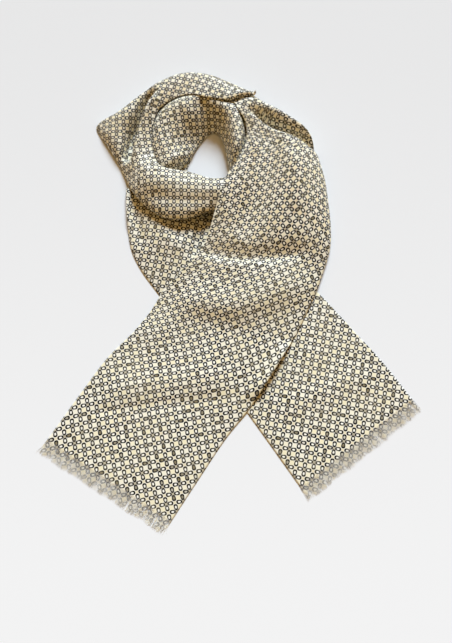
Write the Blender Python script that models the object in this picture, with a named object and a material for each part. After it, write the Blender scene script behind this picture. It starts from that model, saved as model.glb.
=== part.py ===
"""A long silk scarf, wound twice round an open neck ring and laid on a table.

The cloth is one band, 180 mm wide, with a short frayed fringe at both ends.
From its left end it runs up over the front as the right shoulder, turns over
behind the neck, comes round the front as a roll, goes round once more inside
and leaves as the right tail. Each stretch that shows is a wall of its own.
The layers that nobody sees share one rounded solid under the ring.

Every stretch is a table of cross sections along the band. A section says where
its two sides stand on the table, how high they are, how far the cloth turns
down there, and how high the cloth rises between them. A second table adds the
large folds. Each stretch is then laid over the ones below it.

Lengths in the tables are millimetres. X is to the right, Y is to the back.
"""

import math
import random

import bpy
import numpy as np

MM = 0.001

# Driving sizes of the cloth. The seam parts the outer turn at a share of its length
WALL = 1.3
SEAM = 0.4
SEAM_AT = 0.48
LAYER_GAP = 0.55

# The frayed ends: strands, and the strip that holds their roots
FRINGE_LENGTH = 17.0
STRANDS_AN_END = 66
STRIP_WIDTH, STRIP_HEIGHT, STRIP_LIFT = 2.2, 1.1, 0.15

# Where the middle of the whole scarf's outline lies in the tables' own places
MIDDLE_X, MIDDLE_Y = 6.67, 53.64

# Where the middle of the neck opening lies, in the same places
NECK_X, NECK_Y = -22.0, 242.0

SECTION_COLUMNS = (
    "left_x", "left_y", "left_z", "left_drop",
    "right_x", "right_y", "right_z", "right_drop",
    "crown_z", "crown_at",
)

# The left tail from its fringe, up over the front, to the turn behind the right shoulder
TAIL_LEFT = [
    (-219, -155, 0.7, 0.0, -65, -251, 0.7, 0.0, 0.9, 0.5),
    (-182, -97, 0.8, 0.0, -32, -200, 0.8, 0.0, 1.6, 0.5),
    (-149, -48, 1.2, 0.0, 2, -149, 1.0, 0.0, 2.5, 0.4),
    (-118, -14, 1.6, 0.0, 36, -106, 2.5, 0.0, 4.0, 0.4),
    (-97, 14, 2.4, 0.0, 64, -62, 4.5, 0.0, 5.0, 0.4),
    (-82, 42, 4.0, 1.0, 90, -20, 6.0, 1.0, 7.5, 0.5),
    (-63, 64, 9.0, 2.0, 107, 16, 8.0, 2.0, 14.0, 0.5),
    (-46, 82, 13.0, 3.0, 121, 44, 7.0, 3.0, 24.0, 0.5),
    (-32, 99, 15.0, 3.0, 132, 72, 6.0, 4.0, 27.0, 0.5),
    (-23, 122, 18.0, 4.0, 141, 102, 7.0, 5.0, 29.0, 0.45),
    (-16, 147, 26.0, 4.0, 143, 134, 9.0, 7.0, 36.0, 0.35),
    (-7, 174, 32.0, 5.0, 141, 168, 10.0, 8.0, 42.0, 0.3),
    (3, 202, 34.0, 5.0, 137, 204, 14.0, 12.0, 44.0, 0.3),
    (18, 226, 34.0, 6.0, 129, 238, 20.0, 18.0, 43.0, 0.35),
    (24, 252, 34.0, 7.0, 120, 266, 28.0, 26.0, 42.0, 0.4),
    (23, 280, 34.0, 7.0, 86, 293, 34.0, 32.0, 42.0, 0.5),
    (12, 308, 34.0, 4.0, 46, 317, 34.0, 30.0, 38.0, 0.5),
]

# The outer turn: from the point behind the right shoulder round the back to the left corner,
# then across the front and under the right shoulder
WRAP = [
    (42, 328, 34.0, 6.0, 37, 315, 37.0, 0.0, 38.0, 0.6),
    (32, 336, 26.0, 22.0, 27, 315, 37.0, 2.0, 41.0, 0.7),
    (12, 349, 19.0, 18.0, 5, 309, 38.0, 3.0, 42.0, 0.7),
    (-27, 370, 15.0, 14.0, -21, 312, 35.0, 4.0, 40.0, 0.6),
    (-66, 371, 14.0, 13.0, -58, 333, 25.0, 3.0, 38.0, 0.45),
    (-107, 350, 13.0, 12.0, -89, 319, 22.0, 5.0, 35.0, 0.5),
    (-153, 311, 11.0, 10.0, -96, 290, 24.0, 6.0, 33.0, 0.55),
    (-183, 287, 9.0, 8.0, -98, 264, 25.0, 6.0, 33.0, 0.6),
    (-182, 264, 8.0, 7.0, -98, 242, 26.0, 6.0, 33.0, 0.65),
    (-163, 237, 8.0, 7.0, -95, 226, 27.0, 6.0, 34.0, 0.65),
    (-140, 206, 9.0, 7.0, -89, 216, 28.0, 6.0, 35.0, 0.65),
    (-126, 180, 15.0, 4.0, -80, 211, 28.0, 6.0, 35.0, 0.6),
    (-104, 155, 18.0, 4.0, -66, 208, 28.0, 8.0, 36.0, 0.6),
    (-83, 140, 21.0, 4.0, -50, 206, 27.0, 10.0, 36.0, 0.6),
    (-62, 136, 22.0, 4.0, -36, 201, 27.0, 10.0, 35.0, 0.6),
    (-40, 142, 22.0, 4.0, -21, 196, 27.0, 10.0, 34.0, 0.6),
    (-18, 150, 21.0, 4.0, -7, 196, 27.0, 10.0, 33.0, 0.6),
    (6, 156, 19.0, 4.0, 8, 200, 26.0, 8.0, 31.0, 0.6),
    (28, 160, 18.0, 4.0, 22, 201, 24.0, 6.0, 28.0, 0.6),
]

# The inner turn: from under the right shoulder, round the back of the neck, down under the front
RING_INNER = [
    (41, 209, 16.0, 4.0, 6, 207, 6.0, 4.0, 31.0, 0.45),
    (43, 228, 18.0, 4.0, 4, 222, 5.0, 4.0, 35.0, 0.5),
    (43, 252, 22.0, 5.0, 1, 240, 4.0, 3.0, 38.0, 0.55),
    (40, 284, 24.0, 5.0, -3, 262, 3.0, 2.0, 38.0, 0.5),
    (25, 311, 24.0, 5.0, -9, 277, 3.0, 2.0, 37.0, 0.45),
    (-8, 327, 22.0, 5.0, -17, 283, 3.0, 2.0, 37.0, 0.4),
    (-40, 332, 20.0, 5.0, -27, 277, 3.0, 2.0, 37.0, 0.34),
    (-66, 325, 19.0, 5.0, -36, 264, 3.0, 2.0, 37.0, 0.3),
    (-88, 306, 17.0, 5.0, -43, 252, 3.0, 2.0, 34.0, 0.24),
    (-99, 282, 14.0, 4.0, -48, 240, 3.0, 2.0, 29.0, 0.24),
    (-102, 252, 12.0, 4.0, -53, 226, 3.0, 2.0, 25.0, 0.3),
    (-98, 226, 11.0, 4.0, -56, 210, 3.0, 2.0, 20.0, 0.35),
    (-92, 204, 10.0, 4.0, -54, 196, 4.0, 3.0, 16.0, 0.4),
]

# The right tail: from under the front roll, down the left shoulder, under the left tail, to its fringe
TAIL_RIGHT = [
    (-136, 196, 5.0, 3.0, -64, 180, 8.0, 2.0, 11.0, 0.6),
    (-136, 166, 3.0, 2.2, -42, 162, 8.0, 2.0, 11.0, 0.6),
    (-133, 136, 2.4, 1.6, -20, 142, 8.0, 2.0, 11.0, 0.5),
    (-127, 103, 2.0, 1.2, 4, 122, 9.0, 2.0, 12.0, 0.5),
    (-113, 73, 1.8, 0.8, 32, 103, 12.0, 2.0, 13.0, 0.7),
    (-89, 39, 1.0, 0.2, 62, 84, 10.0, 2.0, 12.0, 0.8),
    (-60, 0, 0.7, 0.0, 92, 64, 6.0, 2.0, 8.0, 0.8),
    (-30, -41, 0.7, 0.0, 119, 41, 2.0, 1.0, 3.0, 0.8),
    (0, -83, 0.7, 0.0, 142, 14, 1.2, 0.3, 2.0, 0.6),
    (27, -121, 0.7, 0.0, 163, -12, 1.0, 0.2, 2.2, 0.5),
    (59, -167, 0.7, 0.0, 198, -55, 0.8, 0.0, 1.6, 0.5),
    (90, -212, 0.7, 0.0, 232, -104, 0.7, 0.0, 0.9, 0.5),
]

FOLD_COLUMNS = ("start_x", "start_y", "middle_x", "middle_y", "end_x", "end_y", "height", "half_width")

# The largest folds of each stretch. Troughs have a negative height
FOLDS = {
    "tail_left": [
        (-34, 96, 32, 88, 132, 128, -10.0, 18.0),
        (-30, 66, 40, 52, 116, 74, 3.0, 16.0),
        (48, 294, 76, 278, 122, 234, -14.0, 13.0),
        (86, 262, 88, 205, 82, 140, -4.0, 14.0),
        (116, 240, 118, 190, 116, 130, 4.0, 14.0),
        (-150, -100, -80, -95, 0, -78, -1.6, 12.0),
        (-110, -28, -70, 0, -40, 8, 2.0, 20.0),
        (20, -104, 60, -50, 100, 14, 2.5, 12.0),
    ],
    "wrap": [
        (-104, 349, -133, 292, -134, 220, -27.0, 12.0),
        (-96, 328, -110, 290, -116, 222, 7.0, 9.0),
        (-176, 284, -158, 262, -146, 232, 3.0, 10.0),
        (-110, 176, -60, 160, -10, 168, -3.0, 9.0),
    ],
    "ring_inner": [
        (-84, 268, -66, 258, -50, 236, -3.0, 9.0),
        (-74, 240, -66, 224, -58, 212, -4.0, 8.0),
    ],
    "tail_right": [
        (-120, 150, -90, 120, -60, 92, 2.0, 14.0),
        (60, -120, 130, -90, 190, -70, 1.5, 16.0),
    ],
}

# Roundness of each stretch's left and right side: under 1 is a full roll, 1 is a soft bank
SIDE_ROUND = {
    "tail_left": (0.75, 0.75),
    "wrap": (0.55, 0.55),
    "ring_inner": (0.5, 1.0),
    "tail_right": (0.8, 0.8),
}

# Steps along and across each stretch's wall
STEPS = {
    "tail_left": (42, 18),
    "wrap": (38, 20),
    "ring_inner": (26, 10),
    "tail_right": (26, 10),
}

# A trough deeper than this fades out where the cloth comes down to its hem
DEEP_TROUGH = 2.5
HEM_HEIGHT, HEM_FADE = 3.0, 10.0

# How much steeper than its half width a fold's bell is
BELL_STEEPNESS = 1.4

# Facets are read at this many places between two points of a grid
FINE_STEPS = 8

CLOTH_COLOUR = (0.62, 0.56, 0.38, 1.0)
HIDDEN_COLOUR = (0.50, 0.45, 0.31, 1.0)
FRINGE_COLOUR = (0.74, 0.71, 0.62, 1.0)


def clear_scene():
    """Remove whatever the file holds."""
    for thing in list(bpy.data.objects):
        bpy.data.objects.remove(thing, do_unlink=True)


def cloth_material(name, colour, roughness):
    """A plain finish for a piece of the cloth."""
    material = bpy.data.materials.new(name)
    material.use_nodes = True
    shader = material.node_tree.nodes["Principled BSDF"]
    shader.inputs["Base Color"].default_value = colour
    shader.inputs["Roughness"].default_value = roughness
    shader.inputs["Metallic"].default_value = 0.0
    return material


def smooth_rows(rows, count):
    """Even steps along a smooth curve through the rows of a table.

    The rows are spaced by how far their middles lie apart, and each column
    follows cubic pieces whose slopes are those of its neighbours.
    """
    table = np.array(rows, dtype=float)
    middle = (table[:, 0:2] + table[:, 4:6]) / 2
    station = np.concatenate([[0.0], np.cumsum(np.linalg.norm(np.diff(middle, axis=0), axis=1))])
    slope = np.gradient(table, station, axis=0)
    wanted = np.linspace(0.0, station[-1], count)
    piece = np.clip(np.searchsorted(station, wanted, side="right") - 1, 0, len(station) - 2)
    length = station[piece + 1] - station[piece]
    t = ((wanted - station[piece]) / length)[:, None]
    length = length[:, None]
    return (
        (2 * t**3 - 3 * t**2 + 1) * table[piece]
        + (t**3 - 2 * t**2 + t) * length * slope[piece]
        + (3 * t**2 - 2 * t**3) * table[piece + 1]
        + (t**3 - t**2) * length * slope[piece + 1]
    )


def quarter_sine(share):
    """From 0 to 1 as a quarter of a sine wave, and level past both ends."""
    return np.sin(np.clip(share, 0.0, 1.0) * math.pi / 2)


def section_curves(stations, side_round, count=161):
    """The cross section at every station, as points from the left hem to the right hem.

    Between its sides a section rises to the crown as a power of a quarter sine.
    At a side it turns down by the drop, and a third of that inwards.
    """
    column = dict(zip(SECTION_COLUMNS, stations.T[:, :, None]))
    turn = np.linspace(1.0, 0.0, 20)[None, :-1]
    across = (1 - np.cos(np.linspace(0.0, math.pi, count)))[None, :] / 2
    at = np.clip(column["crown_at"], 0.05, 0.95)
    left_part = quarter_sine(across / at) ** side_round[0]
    right_part = quarter_sine((1 - across) / (1 - at)) ** side_round[1]
    left_z = column["left_z"] + (column["crown_z"] - column["left_z"]) * left_part
    right_z = column["right_z"] + (column["crown_z"] - column["right_z"]) * right_part
    top_z = np.where(across < at, left_z, right_z)
    span = np.stack([column["right_x"] - column["left_x"], column["right_y"] - column["left_y"]])
    width = np.sqrt((span**2).sum(0))
    inward = turn**2 / 3
    left_in = inward * column["left_drop"] / width
    right_in = 1 - inward[:, ::-1] * column["right_drop"] / width
    place = np.concatenate([left_in, across + 0 * at, right_in], axis=1)
    height = np.concatenate([
        column["left_z"] - turn * column["left_drop"],
        top_z,
        column["right_z"] - turn[:, ::-1] * column["right_drop"],
    ], axis=1)
    x = column["left_x"] + place * span[0]
    y = column["left_y"] + place * span[1]
    return np.stack([x, y, height], axis=-1)


def distance_to_fold(points, fold):
    """Plan distance from points to a fold's line, and how far along it the nearest place is, 0 to 1.

    The line is a parabola through the fold's start, middle and end.
    """
    start = np.array([fold["start_x"], fold["start_y"]])
    middle = np.array([fold["middle_x"], fold["middle_y"]])
    end = np.array([fold["end_x"], fold["end_y"]])
    t = np.linspace(0.0, 1.0, 25)[:, None]
    bend = 2 * middle - (start + end) / 2
    path = (1 - t)**2 * start + 2 * t * (1 - t) * bend + t**2 * end
    away = np.linalg.norm(points[..., None, :2] - path, axis=-1)
    return away.min(axis=-1), t[away.argmin(axis=-1), 0]


def add_folds(points, rows):
    """Raise or sink the cloth along each fold.

    Across its line a fold is a bell. It rises over the first quarter of its
    length and sinks over the last. A deep trough also fades near the hem.
    """
    risen = points.copy()
    for row in rows:
        fold = dict(zip(FOLD_COLUMNS, row))
        away, along = distance_to_fold(points, fold)
        bell = np.exp(-BELL_STEEPNESS * (away / fold["half_width"]) ** 2)
        rise = fold["height"] * bell * quarter_sine(along * 4) * quarter_sine((1 - along) * 4)
        if fold["height"] < -DEEP_TROUGH:
            rise *= np.clip((points[..., 2] - HEM_HEIGHT) / HEM_FADE, 0.0, 1.0)
        risen[..., 2] += rise
    return risen


def even_columns(curves, count):
    """Each section again, with its points at even lengths of cloth."""
    fractions = np.linspace(0.0, 1.0, count)
    grid = np.empty((len(curves), count, 3))
    for index, curve in enumerate(curves):
        lengths = np.concatenate([[0.0], np.cumsum(np.linalg.norm(np.diff(curve, axis=0), axis=1))])
        for axis in range(3):
            grid[index, :, axis] = np.interp(fractions * lengths[-1], lengths, curve[:, axis])
    return grid


def soften(grid, passes=2):
    """Round a grid's sharp turns: each inner point moves towards its neighbours on the same row."""
    for _ in range(passes):
        grid[:, 1:-1] = (grid[:, :-2] + 2 * grid[:, 1:-1] + grid[:, 2:]) / 4
    return grid


def stretch(name, rows):
    """The middle surface of one stretch of cloth, as a grid of points."""
    steps_along, steps_across = STEPS[name]
    curves = section_curves(smooth_rows(rows, steps_along + 1), SIDE_ROUND[name])
    curves = add_folds(curves, FOLDS[name])
    grid = soften(even_columns(curves, steps_across + 1))
    grid[..., 2] = np.maximum(grid[..., 2], WALL / 2)
    return grid


def normals(grid):
    """Unit normals of a grid of points, upwards on its top."""
    along = np.gradient(grid, axis=0)
    across = np.gradient(grid, axis=1)
    normal = np.cross(across, along)
    normal /= np.linalg.norm(normal, axis=-1, keepdims=True)
    if normal[..., 2].mean() < 0:
        normal = -normal
    return normal


def faces_of(grid, side):
    """The outer or inner face of a wall whose middle is the grid."""
    face = grid + side * WALL / 2 * normals(grid)
    face[..., 2] = np.maximum(face[..., 2], 0.0 if side < 0 else WALL)
    return face


def finer(grid):
    """The flat facets between a grid's points, as a denser grid."""
    for axis in (0, 1):
        count = grid.shape[axis]
        wanted = np.linspace(0, count - 1, (count - 1) * FINE_STEPS + 1)
        low = np.clip(wanted.astype(int), 0, count - 2)
        part = (wanted - low).reshape([-1 if a == axis else 1 for a in range(3)])
        grid = np.take(grid, low, axis=axis) * (1 - part) + np.take(grid, low + 1, axis=axis) * part
    return grid


class HeightMap:
    """Highest or lowest cloth over a plan of small squares."""

    CELL = 1.5
    LOW = (-260.0, -300.0)
    CELLS = (360, 470)

    def __init__(self, start, pick):
        self.start = start
        self.pick = pick
        self.height = np.full(self.CELLS, start)

    def squares(self, points):
        """The row and column of the square under each point."""
        column = ((points[..., 0] - self.LOW[0]) / self.CELL).astype(int)
        row = ((points[..., 1] - self.LOW[1]) / self.CELL).astype(int)
        return np.clip(column, 0, self.CELLS[0] - 1), np.clip(row, 0, self.CELLS[1] - 1)

    def add(self, face):
        """Take in a face of cloth and the squares next to it."""
        fine = finer(face)
        column, row = self.squares(fine)
        layer = np.full(self.CELLS, self.start)
        self.pick.at(layer, (column, row), fine[..., 2])
        wide = layer.copy()
        for shift in (-1, 1):
            for axis in (0, 1):
                wide = self.pick(wide, np.roll(layer, shift, axis=axis))
        self.height = self.pick(self.height, wide)

    def under(self, points):
        """The map's height at each point."""
        return self.height[self.squares(points)]


def next_to(index):
    """The places on a denser grid that share a facet with one point of the grid it came from."""
    return slice(max(0, (index - 1) * FINE_STEPS), (index + 1) * FINE_STEPS + 1)


def lay_over(grid, below, passes=14):
    """Lift a stretch until its inner face clears all cloth below it.

    Each point takes the largest lift that the facets round it need. The lifts
    are then evened out, but never under what is needed.
    """
    fine = finer(faces_of(grid, -1))
    need = np.maximum(below.under(fine) + LAYER_GAP - fine[..., 2], 0.0)
    need[below.under(fine) <= 0.0] = 0.0
    rows, columns = grid.shape[:2]
    wanted = np.zeros((rows, columns))
    for row in range(rows):
        for column in range(columns):
            wanted[row, column] = need[next_to(row), next_to(column)].max()
    lift = wanted.copy()
    for _ in range(passes):
        edged = np.pad(lift, 1, mode="edge")
        around = (edged[:-2, 1:-1] + edged[2:, 1:-1] + edged[1:-1, :-2] + edged[1:-1, 2:]) / 4
        lift = np.maximum(wanted, (lift + around) / 2)
    lifted = grid.copy()
    lifted[..., 2] += lift
    return lifted


def solid_from_faces(name, top, bottom, material):
    """Close an outer and an inner face into one body.

    Both faces are cut into triangles along the same diagonals, so that the wall
    keeps its thickness where it twists.
    """
    rows, columns = top.shape[:2]
    count = rows * columns
    index = np.arange(count).reshape(rows, columns)
    corner = [part.ravel() for part in (index[:-1, :-1], index[1:, :-1], index[1:, 1:], index[:-1, 1:])]
    first_half = np.stack([corner[0], corner[1], corner[2]], axis=1)
    second_half = np.stack([corner[0], corner[2], corner[3]], axis=1)
    skin = np.concatenate([first_half, second_half])
    rim = np.concatenate([index[:-1, 0], index[-1, :-1], index[:0:-1, -1], index[0, :0:-1]])
    after = np.roll(rim, -1)
    side = np.stack([rim, rim + count, after + count, after], axis=1)
    faces = skin.tolist() + (skin[:, ::-1] + count).tolist() + side.tolist()
    points = np.concatenate([top.reshape(-1, 3), bottom.reshape(-1, 3)])
    return add_body(name, points, faces, material)


def add_body(name, points, faces, material):
    """Put points and faces into an object, moved to the scarf's own origin and turned outwards."""
    placed = (np.asarray(points) - (MIDDLE_X, MIDDLE_Y, 0.0)) * MM
    mesh = bpy.data.meshes.new(name)
    mesh.from_pydata(placed.tolist(), [], faces)
    mesh.validate()
    body = bpy.data.objects.new(name, mesh)
    bpy.context.scene.collection.objects.link(body)
    if signed_volume(mesh) < 0:
        mesh.flip_normals()
    mesh.shade_smooth()
    mesh.set_sharp_from_angle(angle=math.radians(50))
    mesh.materials.append(material)
    return body


def signed_volume(mesh):
    """Six times the volume inside a closed mesh, negative when its faces point in."""
    mesh.calc_loop_triangles()
    total = 0.0
    for triangle in mesh.loop_triangles:
        a, b, c = (mesh.vertices[i].co for i in triangle.vertices)
        total += a.dot(b.cross(c))
    return total


def cloth_wall(name, grid, material):
    """One stretch of cloth as a closed wall."""
    return solid_from_faces(name, faces_of(grid, 1), faces_of(grid, -1), material)


def lowest_over(plan, roof):
    """The lowest cloth over the facets round each point of a ring of rays."""
    fine = roof.under(finer(np.concatenate([plan, plan[:1]], axis=0)))
    rays, steps = plan.shape[:2]
    height = np.empty((rays, steps))
    for ray in range(rays):
        for step in range(steps):
            facets = []
            for first in (ray, (ray - 1) % rays):
                facets.append(fine[first * FINE_STEPS:(first + 1) * FINE_STEPS + 1, next_to(step)].min())
            height[ray, step] = min(facets)
    return height


def hidden_layers(name, roof, material):
    """One rounded solid for the turns of cloth that nothing shows.

    It stands on the table and fills the ring under the stretches above it. On
    rays out from the middle of the neck it starts and ends a little inside the
    places where the cloth above comes down to the table.
    """
    rays, steps = 44, 9
    nearest, furthest = 12.0, 270.0
    low_cloth, open_sky = 5.0, 200.0
    inset, clearance, thin_edge = 5.0, 0.8, 0.3
    angle = np.linspace(0.0, 2 * math.pi, rays, endpoint=False)
    ray = np.stack([np.cos(angle), np.sin(angle)], axis=-1)[:, None, :]
    neck = np.array([NECK_X, NECK_Y])
    reach = np.arange(nearest, furthest)
    room = roof.under(neck + reach[None, :, None] * ray)
    covered = (room > low_cloth) & (room < open_sky)
    inner = reach[covered.argmax(axis=1)] + inset
    outer = reach[len(reach) - 1 - covered[:, ::-1].argmax(axis=1)] - inset
    outer = (outer + np.minimum(np.roll(outer, 1), np.roll(outer, -1))) / 2
    inner = (inner + np.maximum(np.roll(inner, 1), np.roll(inner, -1))) / 2
    part = (1 - np.cos(np.linspace(0.0, math.pi, steps))) / 2
    radius = inner[:, None] + (outer - inner)[:, None] * part
    bottom = np.zeros((rays, steps, 3))
    bottom[..., :2] = neck + radius[..., None] * ray
    top = bottom.copy()
    top[..., 2] = np.maximum(lowest_over(bottom, roof) - clearance, thin_edge)
    index = np.arange(rays * steps).reshape(rays, steps)
    after = np.roll(index, -1, axis=0)
    quads = np.stack([index[:, :-1], after[:, :-1], after[:, 1:], index[:, 1:]], axis=-1).reshape(-1, 4)
    count = rays * steps
    inner_wall = np.stack([index[:, 0], after[:, 0], after[:, 0] + count, index[:, 0] + count], axis=-1)
    outer_wall = np.stack([index[:, -1], index[:, -1] + count, after[:, -1] + count, after[:, -1]], axis=-1)
    faces = np.concatenate([quads[:, ::-1], quads + count, inner_wall, outer_wall])
    points = np.concatenate([top.reshape(-1, 3), bottom.reshape(-1, 3)])
    return add_body(name, points, faces.tolist(), material)


def fringe(name, end_row, before_row, seed, material):
    """A frayed end: a narrow strip just off the cloth's edge, with tapering strands out of it.

    The strip follows the cloth's last row of points. Each strand grows out of
    one face of the strip, in two lengths, to a blunt tip just above the table.
    """
    rng = random.Random(seed)
    away = (end_row - before_row)[:, :2]
    away /= np.linalg.norm(away, axis=1, keepdims=True)
    count = STRANDS_AN_END * 2 + 1
    t = np.linspace(0, len(end_row) - 1, count)
    edge = np.stack([np.interp(t, range(len(end_row)), end_row[:, axis]) for axis in (0, 1)], axis=1)
    out = np.stack([np.interp(t, range(len(end_row)), away[:, axis]) for axis in (0, 1)], axis=1)
    near = edge + out * SEAM
    far = edge + out * (SEAM + STRIP_WIDTH)
    low = np.full((count, 1), STRIP_LIFT)
    high = low + STRIP_HEIGHT
    points = np.concatenate([np.hstack([near, low]), np.hstack([far, low]),
                             np.hstack([far, high]), np.hstack([near, high])]).tolist()
    ring = [[corner * count + i for corner in range(4)] for i in range(count)]
    faces = [ring[0], ring[-1][::-1]]
    for i in range(count - 1):
        for corner in range(4):
            following = (corner + 1) % 4
            quad = [ring[i][corner], ring[i + 1][corner], ring[i + 1][following], ring[i][following]]
            if corner == 1 and i % 2 == 0:
                faces += strand(points, quad, out[i], i // 2, rng)
            else:
                faces.append(quad)
    return add_body(name, points, [face[::-1] for face in faces], material)


def strand(points, root, out, number, rng):
    """Grow one strand from a face of the strip, and return its faces.

    Neighbours lean alike, in a slow wave and a quick one along the edge, so that
    no strand crosses the next.
    """
    length = FRINGE_LENGTH * rng.uniform(0.72, 1.0)
    slow_wave, quick_wave = 0.1 * math.sin(0.3 * number + 2.0), 0.04 * math.sin(1.1 * number)
    sway = slow_wave + quick_wave + rng.uniform(-0.01, 0.01)
    along = np.array([out[0] - out[1] * sway, out[1] + out[0] * sway])
    base = np.array([points[i] for i in root])
    middle = base.mean(axis=0)
    faces = []
    last = root
    for share, thick in ((0.5, 0.75), (1.0, 0.4)):
        centre = middle + np.append(along * length * share, -STRIP_LIFT * share)
        curl = rng.uniform(-0.12, 0.12) * share
        centre[:2] += np.array([-out[1], out[0]]) * curl
        ring = []
        for corner in base:
            offset = (corner - middle) * thick
            points.append((centre + offset).tolist())
            ring.append(len(points) - 1)
        for k in range(4):
            following = (k + 1) % 4
            faces.append([last[k], last[following], ring[following], ring[k]])
        last = ring
    faces.append(last)
    return faces


def outer_turn(turn):
    """The back and the front of the outer turn, one surface parted by a seam at the left corner."""
    seam = int(len(turn) * SEAM_AT)
    back, front = turn[:seam + 1], turn[seam:].copy()
    step = front[1] - front[0]
    front[0] += step * (SEAM / np.linalg.norm(step, axis=-1, keepdims=True))
    return back, front


def build():
    """Make every piece, from the cloth that lies lowest to the cloth on top."""
    clear_scene()
    silk = cloth_material("printed_silk", CLOTH_COLOUR, 0.55)
    inside = cloth_material("folded_silk", HIDDEN_COLOUR, 0.6)
    frayed = cloth_material("frayed_silk", FRINGE_COLOUR, 0.7)

    below = HeightMap(-1.0, np.maximum)
    layers = {"tail_right": stretch("tail_right", TAIL_RIGHT)}
    below.add(faces_of(layers["tail_right"], 1))
    layers["ring_inner"] = lay_over(stretch("ring_inner", RING_INNER), below)
    below.add(faces_of(layers["ring_inner"], 1))
    back, layers["wrap_front"] = outer_turn(lay_over(stretch("wrap", WRAP), below))
    below.add(faces_of(layers["wrap_front"], 1))
    layers["tail_left"] = lay_over(stretch("tail_left", TAIL_LEFT), below)
    below.add(faces_of(layers["tail_left"], 1))
    over = HeightMap(-1.0, np.maximum)
    over.add(faces_of(layers["tail_left"], 1))
    layers["wrap_back"] = lay_over(back, over)
    roof = HeightMap(500.0, np.minimum)
    for grid in layers.values():
        roof.add(faces_of(grid, -1))

    for part, grid in layers.items():
        cloth_wall(part, grid, silk)
    hidden_layers("inner_folds", roof, inside)
    fringe("fringe_left", layers["tail_left"][0], layers["tail_left"][1], 5, frayed)
    fringe("fringe_right", layers["tail_right"][-1], layers["tail_right"][-2], 8, frayed)


build()
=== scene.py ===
# %% [markdown]
# # A silk scarf, wound twice round an open neck ring
#
# The real thing is one long strip of thin printed silk with two short frayed
# ends. Somebody wound it twice round an invisible neck and laid it on a table.
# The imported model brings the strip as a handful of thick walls. Here each wall
# gets a thin silk surface of the same form, with its creases, its print and its
# sheen, and the frayed ends get real threads.

import math

import bmesh
import bpy
import numpy as np
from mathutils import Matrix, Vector


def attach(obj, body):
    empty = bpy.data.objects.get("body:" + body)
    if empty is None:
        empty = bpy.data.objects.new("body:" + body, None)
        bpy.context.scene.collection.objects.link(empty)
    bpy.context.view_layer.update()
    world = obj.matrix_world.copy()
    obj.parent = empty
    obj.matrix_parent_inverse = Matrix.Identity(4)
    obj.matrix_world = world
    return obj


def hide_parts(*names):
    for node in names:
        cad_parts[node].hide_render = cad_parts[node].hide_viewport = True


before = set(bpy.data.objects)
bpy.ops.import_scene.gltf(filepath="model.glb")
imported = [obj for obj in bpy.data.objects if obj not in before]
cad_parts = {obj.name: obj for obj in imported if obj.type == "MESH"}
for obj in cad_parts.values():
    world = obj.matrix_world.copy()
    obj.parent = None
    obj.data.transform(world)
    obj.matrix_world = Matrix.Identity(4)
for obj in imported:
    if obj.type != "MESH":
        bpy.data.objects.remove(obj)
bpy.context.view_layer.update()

# %% [markdown]
# ## The camera
#
# A picture of something flat can be taken from straight above or at a slant.
# The print of this scarf is 30% larger at the foot of the picture than at its
# top, which only a slant of 20 degrees from upright gives. All places below are
# written in millimetres on the table, from the point under the picture's
# middle: x to the right, y away from the camera.

# %% Camera
MM = 0.001
PICTURE_HEIGHT = 643
FOCAL_PIXELS = 760.0
TILT = math.radians(20.0)
CAMERA_DISTANCE = 980.6 * MM

# Where the middle of the model's box lies on the table.
MIDDLE_X, MIDDLE_Y = 6.67, 53.64


def in_scene(name, data):
    """A new object in the scene."""
    made = bpy.data.objects.new(name, data)
    bpy.context.scene.collection.objects.link(made)
    return made


camera_data = bpy.data.cameras.new("camera")
camera_data.sensor_fit = "VERTICAL"
camera_data.sensor_height = 36.0
camera_data.lens = camera_data.sensor_height * FOCAL_PIXELS / PICTURE_HEIGHT
camera = in_scene("camera", camera_data)
camera.location = (
    -MIDDLE_X * MM,
    -CAMERA_DISTANCE * math.sin(TILT) - MIDDLE_Y * MM,
    CAMERA_DISTANCE * math.cos(TILT),
)
camera.rotation_euler = (TILT, 0.0, 0.0)
bpy.context.scene.camera = camera
print("camera at", [round(value, 3) for value in camera.location])

# %% [markdown]
# ## The scarf as tables
#
# A strip of cloth can be modelled as one flat sheet that a simulation folds, or
# as stretches whose cross sections are drawn one by one. The second way is used:
# every section says where its two sides stand, how high they are, how far the
# cloth turns down there, and how high it rises between them. The model's own
# walls are made from the same sections, so the silk lies where they are.

# %% Sections of each stretch
SECTION_COLUMNS = (
    "left_x", "left_y", "left_z", "left_drop",
    "right_x", "right_y", "right_z", "right_drop",
    "crown_z", "crown_at",
)

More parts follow.
